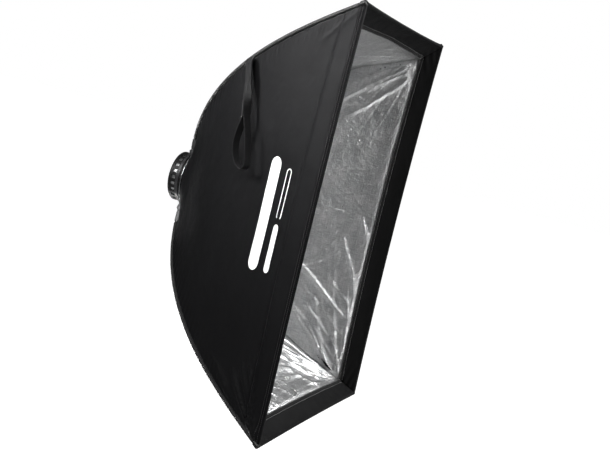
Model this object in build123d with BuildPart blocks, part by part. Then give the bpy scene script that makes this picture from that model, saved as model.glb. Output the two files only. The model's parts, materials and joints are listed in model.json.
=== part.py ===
from build123d import *
import math
import os

# Rectangular quick-fold softbox, 600 x 900 mm front opening, 462 mm deep, with a built-in
# rotating mount for a 100 mm flash head.
#
# Frame: origin at the centre of the flash-head bore, on the rear face of the mount.
# +Y points to the rear (towards the flash), +Z along the long side, +X to the right seen
# from the front. The front opening faces -Y. All sizes are in millimetres.

os.makedirs("parts", exist_ok=True)

# ---------------------------------------------------------------- shared dimensions
WIDTH = 600.0            # front opening, short side, along X
HEIGHT = 900.0           # front opening, long side, along Z
DEPTH = 462.0            # rear face of the mount to the front edge

RUN = 0.06               # radial running clearance
SEAT = 0.02              # gap between parts that sit on each other
PLATE_SEAT = 0.04        # the same, on either face of the hub plate

HEAD_R = 50.0            # bore for the flash head
COLLAR_R = 52.5          # collar inner wall
COLLAR_REAR_R = 55.0     # collar outside, under the grip ring
COLLAR_FRONT_R = 56.5    # collar outside, under the rotating neck
COLLAR_FRONT_Y = -52.0
RIM_R = 58.6             # outside of the collar's rear lip and the grip ring
NECK_R = 59.0            # rotating neck outside
PLATE_FRONT_Y = -44.0    # hub plate
PLATE_REAR_Y = -41.0

HINGE_R = 85.0           # rod hinge: distance from the axis
HINGE_Y = -45.0          # rod hinge: position along Y
PIN_R = 2.0
PIN_HOLE_R = PIN_R + 0.05
EAR_IN = 4.5             # bracket ears, inner and outer face from the rod plane
EAR_OUT = 7.0

DIAGONAL = math.hypot(WIDTH, HEIGHT)
X_SHARE = WIDTH / DIAGONAL    # share of a rod's radius that falls along X
Z_SHARE = HEIGHT / DIAGONAL   # share of a rod's radius that falls along Z

FORWARD = (0, -1, 0)
REARWARD = (0, 1, 0)

# Corner name, sign of X, sign of Z
CORNERS = [("ul", -1, 1), ("ur", 1, 1), ("ll", -1, -1), ("lr", 1, -1)]


# ---------------------------------------------------------------- helpers
def rod_plane(x_sign, z_sign):
    """Plane through the axis and one rod: local x outwards, local y towards the rear."""
    return Plane(
        origin=(0, 0, 0),
        x_dir=(x_sign * X_SHARE, 0, z_sign * Z_SHARE),
        z_dir=(-z_sign * Z_SHARE, 0, x_sign * X_SHARE),
    )


def save(builder, name):
    builder.part.label = name
    export_step(builder.part, f"parts/{name}.step")


# The next five add to, or cut from, the part being built. Each hands its sketch over
# explicitly, because a sketch made in a function does not join the caller's builder.
def ring(r_in, r_out, y_front, y_rear):
    """Plain ring about the Y axis."""
    with BuildSketch(Plane.XY) as section:
        with Locations(((r_in + r_out) / 2, (y_front + y_rear) / 2)):
            Rectangle(r_out - r_in, y_rear - y_front)
    revolve(profiles=section.sketch, axis=Axis.Y)


def disc_circle(y, facing, circle_r, count, radius, amount, mode=Mode.ADD):
    """Discs spaced evenly round the Y axis, extruded along `facing` from height y."""
    with BuildSketch(Plane(origin=(0, y, 0), z_dir=facing)) as discs:
        with PolarLocations(circle_r, count):
            Circle(radius)
    extrude(to_extrude=discs.sketch, amount=amount, mode=mode)


def hinge_disc(plane, radius, amount, both=True, mode=Mode.ADD):
    """Disc centred on the hinge."""
    with BuildSketch(plane) as disc:
        with Locations((HINGE_R, HINGE_Y)):
            Circle(radius)
    extrude(to_extrude=disc.sketch, amount=amount, both=both, mode=mode)


def slab(plane, outline, half_width, hinge_cut_r=None, mode=Mode.ADD):
    """Outline extruded to both sides of a rod plane, less a circle round the hinge."""
    with BuildSketch(plane) as face:
        with BuildLine():
            Polyline(*outline, close=True)
        make_face()
        if hinge_cut_r:
            with Locations((HINGE_R, HINGE_Y)):
                Circle(hinge_cut_r, mode=Mode.SUBTRACT)
    extrude(to_extrude=face.sketch, amount=half_width, both=True, mode=mode)


def sweep_round(path, radius, bore_r=None, mode=Mode.ADD):
    """Round bar, or tube if it has a bore, along a path."""
    with BuildSketch(Plane(origin=path @ 0, z_dir=path % 0)) as section:
        Circle(radius)
        if bore_r:
            Circle(bore_r, mode=Mode.SUBTRACT)
    sweep(sections=section.sketch, path=path, mode=mode)


def spline_on(plane, points):
    with BuildLine(plane) as curve:
        Spline(*points)
    return curve.line


# ---------------------------------------------------------------- mount (fixed to the flash)
LINER_T = 2.4
LINER_FRONT_Y = -34.0
COLLAR_STEP_Y = -20.6    # the thicker front part of the collar starts here
COLLAR_OVERLAP = 0.4     # the rear part of the collar runs this far past the step
LIP_T = 2.0
LIP_FILLET = 0.8
RETAINER_R = 66.0
RETAINER_FRONT_Y = -54.6
COLLAR_SCREWS = 4
COLLAR_SCREW_CIRCLE_R = 54.5

with BuildPart() as mount_collar:
    ring(COLLAR_R, COLLAR_FRONT_R, COLLAR_FRONT_Y, COLLAR_STEP_Y)
    ring(COLLAR_R, COLLAR_REAR_R, COLLAR_STEP_Y - COLLAR_OVERLAP, 0.0)
    ring(COLLAR_R, RIM_R, -LIP_T, 0.0)
    # blind screw holes in the front end
    disc_circle(COLLAR_FRONT_Y, FORWARD, COLLAR_SCREW_CIRCLE_R, COLLAR_SCREWS,
                radius=1.05, amount=-6.0, mode=Mode.SUBTRACT)
    circles = mount_collar.edges().filter_by(GeomType.CIRCLE)
    rear_edges = circles.filter_by_position(Axis.Y, -0.01, 0.01)
    fillet(rear_edges.sort_by(SortBy.RADIUS)[-1], LIP_FILLET)
save(mount_collar, "mount_collar")

with BuildPart() as collar_liner:
    ring(HEAD_R, HEAD_R + LINER_T, LINER_FRONT_Y, 0.0)
save(collar_liner, "collar_liner")

with BuildPart() as retaining_ring:
    ring(COLLAR_R, RETAINER_R, RETAINER_FRONT_Y, COLLAR_FRONT_Y - SEAT)
    disc_circle(RETAINER_FRONT_Y, FORWARD, COLLAR_SCREW_CIRCLE_R, COLLAR_SCREWS,
                radius=1.1, amount=-3.0, mode=Mode.SUBTRACT)
save(retaining_ring, "retaining_ring")

with BuildPart() as collar_screws:
    # heads, then shanks
    disc_circle(RETAINER_FRONT_Y - SEAT, FORWARD, COLLAR_SCREW_CIRCLE_R, COLLAR_SCREWS,
                radius=1.9, amount=1.4)
    disc_circle(RETAINER_FRONT_Y - 0.4, REARWARD, COLLAR_SCREW_CIRCLE_R, COLLAR_SCREWS,
                radius=1.0, amount=7.5)
save(collar_screws, "collar_screws")

# ---------------------------------------------------------------- grip ring
GRIP_FRONT_Y = -20.4
GRIP_REAR_Y = -LIP_T - 0.1
GRIP_SLEEVE_R = 56.0     # outside of the inner sleeve
WINDOW_COUNT = 24
WINDOW_CIRCLE_R = 57.6
WINDOW_RADIAL = 5.2      # deep enough to cut right through the ring
WINDOW_WIDTH = 7.6
WINDOW_REAR_Y = -8.2
WINDOW_LENGTH = 9.6

with BuildPart() as grip_sleeve:
    ring(COLLAR_REAR_R + RUN, GRIP_SLEEVE_R, GRIP_FRONT_Y, GRIP_REAR_Y)
save(grip_sleeve, "grip_sleeve")

with BuildPart() as grip_ring:
    ring(GRIP_SLEEVE_R + SEAT, RIM_R, GRIP_FRONT_Y, GRIP_REAR_Y)
    with BuildSketch(Plane(origin=(0, WINDOW_REAR_Y, 0), z_dir=FORWARD)) as windows:
        with PolarLocations(WINDOW_CIRCLE_R, WINDOW_COUNT):
            Rectangle(WINDOW_RADIAL, WINDOW_WIDTH)
    extrude(to_extrude=windows.sketch, amount=WINDOW_LENGTH, mode=Mode.SUBTRACT)
save(grip_ring, "grip_ring")

# ---------------------------------------------------------------- rotating hub
NECK_FRONT_Y = -51.9
NECK_REAR_Y = -21.2
FLANGE_R = 70.0          # neck flange, in front of the hub plate
FLANGE_FRONT_Y = -47.0
PLATE_R = 75.0
PLATE_FILLET = 0.9
INDEX_R = 59.8           # index ring between its two ridges
RIDGE_IN_R = 59.4
RIDGE_R = 61.0
RIDGE_W = 2.0
INDEX_LENGTH = 6.0

HUB_SCREW_CIRCLE_R = 66.5
HUB_HOLES = 12
HUB_HOLE_DEPTH = 4.0
# a screw every 30 degrees except where a rod bracket sits
SCREW_ANGLES = [0, 30, 90, 150, 180, 210, 270, 330]

with BuildPart() as hub_neck:
    ring(COLLAR_FRONT_R + RUN, NECK_R, NECK_FRONT_Y, NECK_REAR_Y)
    ring(COLLAR_FRONT_R + RUN, FLANGE_R, FLANGE_FRONT_Y, PLATE_FRONT_Y - PLATE_SEAT)
    disc_circle(PLATE_FRONT_Y, FORWARD, HUB_SCREW_CIRCLE_R, HUB_HOLES,
                radius=1.3, amount=HUB_HOLE_DEPTH, mode=Mode.SUBTRACT)
save(hub_neck, "hub_neck")

with BuildPart() as index_ring:
    index_front_y = NECK_REAR_Y - INDEX_LENGTH
    ring(NECK_R + SEAT, INDEX_R, index_front_y, NECK_REAR_Y)
    ring(RIDGE_IN_R, RIDGE_R, NECK_REAR_Y - RIDGE_W, NECK_REAR_Y)
    ring(RIDGE_IN_R, RIDGE_R, index_front_y, index_front_y + RIDGE_W)
save(index_ring, "index_ring")

with BuildPart() as hub_plate:
    ring(NECK_R + SEAT, PLATE_R, PLATE_FRONT_Y, PLATE_REAR_Y)
    disc_circle(PLATE_REAR_Y, FORWARD, HUB_SCREW_CIRCLE_R, HUB_HOLES,
                radius=1.6, amount=HUB_HOLE_DEPTH, mode=Mode.SUBTRACT)
    rim = hub_plate.edges().filter_by(GeomType.CIRCLE).sort_by(SortBy.RADIUS)[-2:]
    fillet(rim, PLATE_FILLET)
save(hub_plate, "hub_plate")

with BuildPart() as hub_screws:
    for angle in SCREW_ANGLES:
        x = HUB_SCREW_CIRCLE_R * math.cos(math.radians(angle))
        z = HUB_SCREW_CIRCLE_R * math.sin(math.radians(angle))
        with BuildSketch(Plane(origin=(x, PLATE_REAR_Y + SEAT, z), z_dir=REARWARD)) as head:
            Circle(2.6)
        extrude(to_extrude=head.sketch, amount=1.8)
        with BuildSketch(Plane(origin=(x, PLATE_REAR_Y + 1.4, z), z_dir=REARWARD)) as socket:
            RegularPolygon(1.2, 6)
        extrude(to_extrude=socket.sketch, amount=1.0, mode=Mode.SUBTRACT)
        with BuildSketch(Plane(origin=(x, PLATE_REAR_Y + 0.2, z), z_dir=FORWARD)) as shank:
            Circle(1.25)
        extrude(to_extrude=shank.sketch, amount=6.0)
save(hub_screws, "hub_screws")

# ---------------------------------------------------------------- rod brackets and pins
# Outlines in a rod plane: (distance from the axis, Y)
BRACKET_FRONT_Y = PLATE_REAR_Y + PLATE_SEAT
BRACKET_BASE_REAR_Y = -38.2
BRACKET_BASE = [
    (61.5, BRACKET_BASE_REAR_Y), (61.5, BRACKET_FRONT_Y),
    (78.2, BRACKET_FRONT_Y), (78.2, BRACKET_BASE_REAR_Y),
]
BRACKET_EAR = [
    (73.0, -36.4), (73.0, BRACKET_FRONT_Y), (75.6, BRACKET_FRONT_Y), (76.6, -46.4),
    (81.6, -51.0), (88.2, -51.0), (91.6, -46.6), (91.6, -41.4), (86.4, -36.4),
]
BRACKET_SLOT = [
    (72.0, BRACKET_BASE_REAR_Y), (78.25, BRACKET_BASE_REAR_Y), (78.25, -53.0),
    (93.0, -53.0), (93.0, -34.0), (72.0, -34.0),
]
PIN_HEAD_R = 3.4
PIN_HEAD_T = 1.2

with BuildPart() as rod_brackets:
    for corner, x_sign, z_sign in CORNERS:
        plane = rod_plane(x_sign, z_sign)
        # base on the hub plate, one block for both ears, then the slot that parts them
        slab(plane, BRACKET_BASE, EAR_OUT)
        slab(plane, BRACKET_EAR, EAR_OUT, hinge_cut_r=PIN_HOLE_R)
        slab(plane, BRACKET_SLOT, EAR_IN, mode=Mode.SUBTRACT)
save(rod_brackets, "rod_brackets")

with BuildPart() as hinge_pins:
    for corner, x_sign, z_sign in CORNERS:
        plane = rod_plane(x_sign, z_sign)
        hinge_disc(plane, PIN_R, EAR_OUT + 0.1)
        for side in (-1, 1):
            head_plane = plane.offset(side * (EAR_OUT + 0.05))
            hinge_disc(head_plane, PIN_HEAD_R, side * PIN_HEAD_T, both=False)
save(hinge_pins, "hinge_pins")

# ---------------------------------------------------------------- fabric cuff and its clamp
CUFF_IN_R = 70.3
CUFF_OUT_R = 78.6
CUFF_FRONT_Y = -46.4
CUFF_SLOT = [(74.8, -35.0), (74.8, -60.0), (90.0, -60.0), (90.0, -35.0)]
CLAMP_R = 74.6

with BuildPart() as fabric_cuff:
    # flat part in front of the hub plate, then the wall round the plate's edge
    ring(CUFF_IN_R, CUFF_OUT_R, CUFF_FRONT_Y, PLATE_FRONT_Y - 0.2)
    ring(PLATE_R + 0.3, CUFF_OUT_R, CUFF_FRONT_Y, -41.4)
    for corner, x_sign, z_sign in CORNERS:
        slab(rod_plane(x_sign, z_sign), CUFF_SLOT, EAR_OUT + 0.6, mode=Mode.SUBTRACT)
save(fabric_cuff, "fabric_cuff")

with BuildPart() as cuff_clamp_ring:
    ring(62.0, CLAMP_R, -49.4, -47.1)
    ring(CUFF_IN_R, CLAMP_R, -47.3, CUFF_FRONT_Y - 0.1)
save(cuff_clamp_ring, "cuff_clamp_ring")

# ---------------------------------------------------------------- rods, knuckles, locks
ROD_R = 3.0
SLEEVE_BORE_R = 3.45
SLEEVE_OUT_R = 4.3
KNUCKLE_HALF = 4.3       # half width of a knuckle
EYE_R = 5.4              # round eye of a knuckle
CAP_R = 6.0
CAP_LENGTH = 14.0
CAP_OVERLAP = 10.0       # the cap starts this far behind the rod's tip
CAP_FILLET = 2.4

# Rod centre line in its own rod plane: (distance from the axis, Y)
ROD_LINE = [
    (96.0, -45.0), (117.3, -50.4), (149.8, -60.9), (189.7, -77.7), (234.5, -101.9),
    (280.4, -133.4), (324.4, -170.5), (369.6, -216.2), (415.1, -270.9), (455.0, -326.2),
    (494.7, -387.3), (519.7, -428.4), (538.2, -459.8),
]
# The sleeve follows the rod but starts and stops short of its ends.
SLEEVE_LINE = [(120.5, -51.35)] + ROD_LINE[2:-1] + [(531.0, -447.5)]

# Outlines in a rod plane: (distance from the axis, Y)
KNUCKLE_ARM = [
    (HINGE_R + 0.7, HINGE_Y + 5.2), (HINGE_R - 1.2, HINGE_Y - 5.0), (93.0, -50.2),
    (116.0, -55.2), (118.4, -46.6), (96.0, -40.6),
]
LOCK_BODY = [
    (66.2, -38.1), (81.4, -38.1), (81.4, -34.8), (69.6, -34.8), (69.0, -31.4), (66.2, -31.4),
]


def build_rod(corner, rod_path):
    with BuildPart() as rod:
        sweep_round(rod_path, ROD_R)
    save(rod, f"rod_{corner}")


def build_rod_sleeve(corner, plane):
    sleeve_path = spline_on(plane, SLEEVE_LINE)
    with BuildPart() as rod_sleeve:
        sweep_round(sleeve_path, SLEEVE_OUT_R, bore_r=SLEEVE_BORE_R)
    save(rod_sleeve, f"rod_sleeve_{corner}")


def build_rod_knuckle(corner, plane, rod_path):
    """Round eye on the hinge pin, with an arm bored for the rod."""
    with BuildPart() as rod_knuckle:
        hinge_disc(plane, EYE_R, KNUCKLE_HALF)
        slab(plane, KNUCKLE_ARM, KNUCKLE_HALF)
        hinge_disc(plane, PIN_HOLE_R, KNUCKLE_HALF + 1, mode=Mode.SUBTRACT)
        sweep_round(rod_path, ROD_R + 0.05, mode=Mode.SUBTRACT)
    save(rod_knuckle, f"rod_knuckle_{corner}")


def build_tip_cap(corner, rod_path):
    """Rounded cap on the rod's front tip."""
    tip = rod_path @ 1
    tip_dir = rod_path % 1
    with BuildPart() as tip_cap:
        with BuildSketch(Plane(origin=tip - tip_dir * CAP_OVERLAP, z_dir=tip_dir)) as section:
            Circle(CAP_R)
        extrude(to_extrude=section.sketch, amount=CAP_LENGTH)
        fillet(tip_cap.edges().filter_by(GeomType.CIRCLE), CAP_FILLET)
        with BuildSketch(Plane(origin=tip + tip_dir * 0.1, z_dir=tip_dir)) as bore:
            Circle(ROD_R + 0.08)
        extrude(to_extrude=bore.sketch, amount=-20.0, mode=Mode.SUBTRACT)
    save(tip_cap, f"tip_cap_{corner}")


def build_lock_slider(corner, plane):
    """Slider between the ears; its curved nose bears on the knuckle's eye."""
    with BuildPart() as lock_slider:
        slab(plane, LOCK_BODY, EAR_IN - 0.15, hinge_cut_r=EYE_R + 0.1)
    save(lock_slider, f"lock_slider_{corner}")


for corner, x_sign, z_sign in CORNERS:
    plane = rod_plane(x_sign, z_sign)
    rod_path = spline_on(plane, ROD_LINE)
    build_rod(corner, rod_path)
    build_rod_sleeve(corner, plane)
    build_rod_knuckle(corner, plane, rod_path)
    build_tip_cap(corner, rod_path)
    build_lock_slider(corner, plane)

# ---------------------------------------------------------------- cloth panels, two halves each
# A panel is one sheet. It folds on its middle line, so each half is its own set of solids:
# outer shell, silver lining and the black band inside the front edge.
SHELL_T = 1.2            # outer nylon
LINING_T = 0.7
BAND_T = 1.6
BAND_DEPTH = 47.0        # band, back from the front edge
LAYER_GAP = 0.5
MID_GAP = 0.3            # half gap on the fold line
SEAM_GAP = 6.6           # panels stop this far from the rod plane
OVERRUN = 20.0           # extra extrusion, trimmed off at the rod plane
BAND_LEAD = 30.0         # extra profile behind the band, trimmed off
HUB_HOLE_R = 84.0
EAR_ROOM = [(60.0, -20.0), (60.0, -70.0), (93.5, -70.0), (93.5, -20.0)]

# Seam line that the four panels follow, in a rod plane: (distance from the axis, Y).
# It runs 2.5 mm outside the rod's centre line and ends on the front plane.
SEAM_LINE = [
    (84.0, -39.9), (100.0, -43.2), (118.0, -48.0), (150.7, -58.5), (190.8, -75.4),
    (235.8, -99.8), (281.9, -131.4), (326.1, -168.7), (371.4, -214.5), (417.1, -269.4),
    (457.1, -324.8), (496.8, -386.0), (521.8, -427.1), (543.0, -DEPTH),
]

# Half name, on a side (left or right) panel?, sign of X, sign of Z
HALVES = [
    ("left_upper", True, -1, 1), ("left_lower", True, -1, -1),
    ("right_upper", True, 1, 1), ("right_lower", True, 1, -1),
    ("top_left", False, -1, 1), ("top_right", False, 1, 1),
    ("bottom_left", False, -1, -1), ("bottom_right", False, 1, -1),
]
LINING_IN = SHELL_T + LAYER_GAP
BAND_IN = LINING_IN + LINING_T + LAYER_GAP
# Layer name, distance of its outer face inside the seam line, thickness,
# depth from the front edge (None for the full panel)
LAYERS = [
    ("shell", 0.0, SHELL_T, None),
    ("lining", LINING_IN, LINING_T, None),
    ("front_band", BAND_IN, BAND_T, BAND_DEPTH),
]


def move_inward(points, distance):
    """Shift a panel profile into the box, each point square to its neighbours' chord."""
    shifted = []
    for i, (x, y) in enumerate(points):
        before = points[max(i - 1, 0)]
        after = points[min(i + 1, len(points) - 1)]
        dx, dy = after[0] - before[0], after[1] - before[1]
        chord = math.hypot(dx, dy)
        shifted.append((x + distance * dy / chord, y - distance * dx / chord))
    return shifted


def build_cloth(half, is_side, x_sign, z_sign, layer):
    layer_name, inset, thickness, depth = layer
    # into: unit vector from the rod plane into this half.
    # plane: profile plane at the fold line; reach: signed extrusion towards the rod.
    if is_side:
        share = X_SHARE
        into = Vector(x_sign * Z_SHARE, 0, -z_sign * X_SHARE)
        plane = Plane(origin=(0, 0, z_sign * MID_GAP), x_dir=(x_sign, 0, 0),
                      z_dir=(0, 0, x_sign))
        reach = x_sign * z_sign * (HEIGHT / 2 + OVERRUN)
    else:
        share = Z_SHARE
        into = Vector(-x_sign * Z_SHARE, 0, z_sign * X_SHARE)
        plane = Plane(origin=(x_sign * MID_GAP, 0, 0), x_dir=(0, 0, z_sign),
                      z_dir=(-z_sign, 0, 0))
        reach = -x_sign * z_sign * (WIDTH / 2 + OVERRUN)

    seam = [(radius * share, y) for radius, y in SEAM_LINE]
    outer = move_inward(seam, inset)
    inner = move_inward(seam, inset + thickness)
    if depth:
        lead_y = -DEPTH + depth + BAND_LEAD
        outer = [point for point in outer if point[1] < lead_y]
        inner = [point for point in inner if point[1] < lead_y]

    with BuildPart() as cloth:
        with BuildSketch(plane) as profile:
            with BuildLine():
                Spline(*outer)
                Line(outer[-1], inner[-1])
                Spline(*inner[::-1])
                Line(inner[0], outer[0])
            make_face()
        extrude(to_extrude=profile.sketch, amount=reach)
        split(bisect_by=Plane(origin=into * SEAM_GAP, z_dir=into), keep=Keep.TOP)
        if depth:
            band_rear = Plane(origin=(0, -DEPTH + depth, 0), z_dir=FORWARD)
            split(bisect_by=band_rear, keep=Keep.TOP)
        else:
            # clear the hub and the bracket ears
            with BuildSketch(Plane(origin=(0, -20.0, 0), z_dir=FORWARD)) as hub_hole:
                Circle(HUB_HOLE_R)
            extrude(to_extrude=hub_hole.sketch, amount=80.0, mode=Mode.SUBTRACT)
            slab(rod_plane(x_sign, z_sign), EAR_ROOM, EAR_OUT + 1.8, mode=Mode.SUBTRACT)
    save(cloth, f"{half}_{layer_name}")


for half, is_side, x_sign, z_sign in HALVES:
    for layer in LAYERS:
        build_cloth(half, is_side, x_sign, z_sign, layer)

# ---------------------------------------------------------------- carry loop
# Flat webbing loop hanging from the top left seam, lying over the left panel.
STRAP_W = 22.0
STRAP_T = 4.0
STRAP_TOP = Vector(-211.8, -212.6, 291.0)
STRAP_END = Vector(-240.8, -274.6, 76.0)
STRAP_LIFT = 1.4         # clear of the panel
SEWN_START = 4.0         # the two strands are sewn together from here
STRAP_JOIN = 112.0       # down to here
LOOP_TOP = STRAP_JOIN - 6
LOOP_H = 14.0            # the loop's webbing stands on edge
TAB_LENGTH = 12.0

strap_down = (STRAP_END - STRAP_TOP).normalized()
panel_out = Vector(-0.889, 0.458, 0.0)
strap_out = (panel_out - strap_down * panel_out.dot(strap_down)).normalized()
strap_len = (STRAP_END - STRAP_TOP).length
strap_plane = Plane(origin=STRAP_TOP + strap_out * STRAP_LIFT, x_dir=strap_down, z_dir=strap_out)

# Outside and inside of the open loop: (distance down the strap, distance across it)
LOOP_OUTSIDE = [
    (LOOP_TOP, 9), (150, 24), (178, 31), (206, 24), (strap_len, 6), (strap_len - 6, -9),
    (180, -13), (145, -11), (LOOP_TOP, -9),
]
LOOP_INSIDE = [
    (STRAP_JOIN + 14, 1), (152, 19), (178, 26.5), (203, 20), (strap_len - 7, 2),
    (strap_len - 12, -6), (180, -9), (145, -6.5), (STRAP_JOIN + 14, 1),
]

with BuildPart() as strap_loop:
    # sewn upper part, both strands together
    with BuildSketch(strap_plane) as sewn:
        with Locations(((SEWN_START + STRAP_JOIN) / 2, 0)):
            Rectangle(STRAP_JOIN - SEWN_START, STRAP_W)
    extrude(to_extrude=sewn.sketch, amount=STRAP_T)
    with BuildSketch(strap_plane) as loop:
        with BuildLine():
            Spline(*LOOP_OUTSIDE)
            Line(LOOP_OUTSIDE[-1], LOOP_OUTSIDE[0])
        make_face()
        with BuildLine():
            Spline(*LOOP_INSIDE)
        make_face(mode=Mode.SUBTRACT)
    extrude(to_extrude=loop.sketch, amount=LOOP_H)
save(strap_loop, "strap_loop")

with BuildPart() as strap_tab:
    with BuildSketch(strap_plane) as outline:
        with Locations((-TAB_LENGTH / 2, 0)):
            Rectangle(TAB_LENGTH, STRAP_W + 3)
    extrude(to_extrude=outline.sketch, amount=STRAP_T + 0.6)
save(strap_tab, "strap_tab")
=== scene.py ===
# A rectangular cloth box, silver inside, held open by four curved rods that spread from a
# round hub. The hub is at the rear, near y = 0, with its axis along Y. The open front
# faces -Y; +X is right and +Z is up. Metres, unless a table says mm.
import bpy
import json
import math
import numpy as np
from mathutils import Matrix, Vector


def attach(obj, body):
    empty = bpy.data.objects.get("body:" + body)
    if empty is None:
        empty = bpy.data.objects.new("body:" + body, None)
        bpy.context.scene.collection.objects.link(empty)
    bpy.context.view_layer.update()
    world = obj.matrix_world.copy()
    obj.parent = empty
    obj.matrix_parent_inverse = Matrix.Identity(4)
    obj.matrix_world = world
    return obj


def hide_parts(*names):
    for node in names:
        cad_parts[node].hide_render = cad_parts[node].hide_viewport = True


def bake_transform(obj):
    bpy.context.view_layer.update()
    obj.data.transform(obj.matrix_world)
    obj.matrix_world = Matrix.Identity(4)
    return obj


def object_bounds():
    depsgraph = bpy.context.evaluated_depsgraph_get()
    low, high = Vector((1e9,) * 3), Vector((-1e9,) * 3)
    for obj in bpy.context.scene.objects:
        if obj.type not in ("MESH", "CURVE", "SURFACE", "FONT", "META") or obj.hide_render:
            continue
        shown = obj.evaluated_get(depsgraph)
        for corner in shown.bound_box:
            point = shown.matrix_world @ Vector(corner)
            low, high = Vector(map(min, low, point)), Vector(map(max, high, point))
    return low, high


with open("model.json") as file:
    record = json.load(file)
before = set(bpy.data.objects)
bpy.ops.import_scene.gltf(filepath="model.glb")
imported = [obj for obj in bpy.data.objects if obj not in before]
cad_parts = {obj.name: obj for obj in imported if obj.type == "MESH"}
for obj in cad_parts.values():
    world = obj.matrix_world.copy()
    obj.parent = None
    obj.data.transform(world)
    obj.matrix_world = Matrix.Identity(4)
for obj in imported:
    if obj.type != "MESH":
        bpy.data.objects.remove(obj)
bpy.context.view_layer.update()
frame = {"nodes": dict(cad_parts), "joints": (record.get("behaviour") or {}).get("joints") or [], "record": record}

# ---------------------------------------------------------------- driving sizes
WIDTH, HEIGHT = 0.600, 0.900
DIAGONAL = math.hypot(WIDTH, HEIGHT)
X_SHARE, Z_SHARE = WIDTH / DIAGONAL, HEIGHT / DIAGONAL   # parts of a rod's reach in X and Z
ROD_ANGLE = math.atan2(Z_SHARE, X_SHARE)                 # above the X axis
CLOTH_STEP, LINING_STEP = 0.0062, 0.0030                 # mesh spacing
BAND_DEPTH = 0.0472
CORNERS = {"ul": (-1, 1), "ur": (1, 1), "ll": (-1, -1), "lr": (1, -1)}   # signs of X and Z

# (distance from the hub axis, y) in mm, from the hub to the front
ROD_POINTS = [
    (96.0, -45.0), (117.3, -50.4), (149.8, -60.9), (189.7, -77.7), (234.5, -101.9),
    (280.4, -133.4), (324.4, -170.5), (369.6, -216.2), (415.1, -270.9), (455.0, -326.2),
    (494.7, -387.3), (519.7, -428.4), (538.2, -459.8)]
SEAM_POINTS = [
    (79.2, -46.8), (84.0, -48.8), (94.0, -52.6), (105.0, -55.6), (116.0, -57.8),
    (128.0, -59.4), (140.0, -60.8), (152.0, -62.4), (166.0, -65.8), (190.8, -75.4),
    (235.8, -99.8), (281.9, -131.4), (326.1, -168.7), (371.4, -214.5), (417.1, -269.4),
    (457.1, -324.8), (496.8, -386.0), (521.8, -427.1), (543.0, -462.0)]


# ---------------------------------------------------------------- curves and noise
def smooth(t):
    t = np.clip(t, 0.0, 1.0)
    return t * t * (3 - 2 * t)


def bump(x, width):
    return np.exp(-(x / width) ** 2)


def unit(vectors):
    return vectors / np.linalg.norm(vectors, axis=-1, keepdims=True)


def run_length(points):
    return np.r_[0, np.cumsum(np.linalg.norm(np.diff(points, axis=0), axis=1))]


def natural_spline(points, samples):
    """Natural cubic spline through the points, sampled evenly by its parameter."""
    p = np.array(points, float)
    s = run_length(p)
    count, gaps = len(s), np.diff(s)
    system, right = np.eye(count), np.zeros_like(p)
    for i in range(1, count - 1):
        system[i, i - 1:i + 2] = gaps[i - 1], 2 * (gaps[i - 1] + gaps[i]), gaps[i]
        right[i] = 6 * ((p[i + 1] - p[i]) / gaps[i] - (p[i] - p[i - 1]) / gaps[i - 1])
    bend = np.linalg.solve(system, right)
    at = np.linspace(0, s[-1], samples)
    i = np.clip(np.searchsorted(s, at, side="right") - 1, 0, count - 2)
    u, v = ((s[i + 1] - at) / gaps[i])[:, None], ((at - s[i]) / gaps[i])[:, None]
    scale = (gaps[i] ** 2)[:, None] / 6
    return (u * p[i] + v * p[i + 1]
            + ((u ** 3 - u) * bend[i] + (v ** 3 - v) * bend[i + 1]) * scale)


class Curve:
    """Planar curve of (distance from the axis, y), looked up by arc length."""

    def __init__(self, points):
        self.points = points
        self.stations = run_length(points)
        self.length = self.stations[-1]

    def at(self, along):
        return tuple(np.interp(along, self.stations, self.points[:, i]) for i in (0, 1))

    def station(self, radius):
        return np.interp(radius, self.points[:, 0], self.stations)

    def normal(self, along):
        """Unit normal, outwards and to the rear."""
        r0, y0 = self.at(np.clip(along - 0.002, 0, self.length))
        r1, y1 = self.at(np.clip(along + 0.002, 0, self.length))
        size = np.hypot(r1 - r0, y1 - y0)
        return -(y1 - y0) / size, (r1 - r0) / size

    def offset(self, distance):
        shift = [part * distance for part in self.normal(self.stations)]
        return Curve(self.points + np.stack(shift, 1))

    def trimmed(self, y_min, radius_min):
        keep = (self.points[:, 1] >= y_min) & (self.points[:, 0] >= radius_min)
        return Curve(self.points[keep])


ROD = Curve(natural_spline(np.array(ROD_POINTS) / 1000, 3000))
SEAM = Curve(natural_spline(np.array(SEAM_POINTS) / 1000, 3000))
# the lining's seam lies 4 mm inside the outer one near the hub and 7 mm further out
LINING_SEAM = SEAM.offset(
    -(0.0040 + 0.0030 * smooth((SEAM.stations - 0.05) / 0.07))).trimmed(-0.4612, 0.0800)


def grad_noise(x, y, seed):
    """Smooth 2-D noise, about -0.7 to 0.7."""
    x, y = np.broadcast_arrays(np.asarray(x, float), np.asarray(y, float))
    xi, yi = np.floor(x).astype(np.int64), np.floor(y).astype(np.int64)
    xf, yf = x - xi, y - yi

    def gradient(ix, iy):
        h = (ix * 374761393 + iy * 668265263 + seed * 1013904223) & 0x7FFFFFFF
        h = ((h ^ (h >> 13)) * 1274126177) & 0x7FFFFFFF
        h = (h ^ (h >> 16)) & 0xFFFF
        angle = h / 65536.0 * 2 * math.pi
        return np.cos(angle), np.sin(angle)

    out = 0
    u, v = (f * f * f * (f * (6 * f - 15) + 10) for f in (xf, yf))
    for dx in (0, 1):
        for dy in (0, 1):
            gx, gy = gradient(xi + dx, yi + dy)
            weight = (u if dx else 1 - u) * (v if dy else 1 - v)
            out = out + weight * (gx * (xf - dx) + gy * (yf - dy))
    return out


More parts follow.
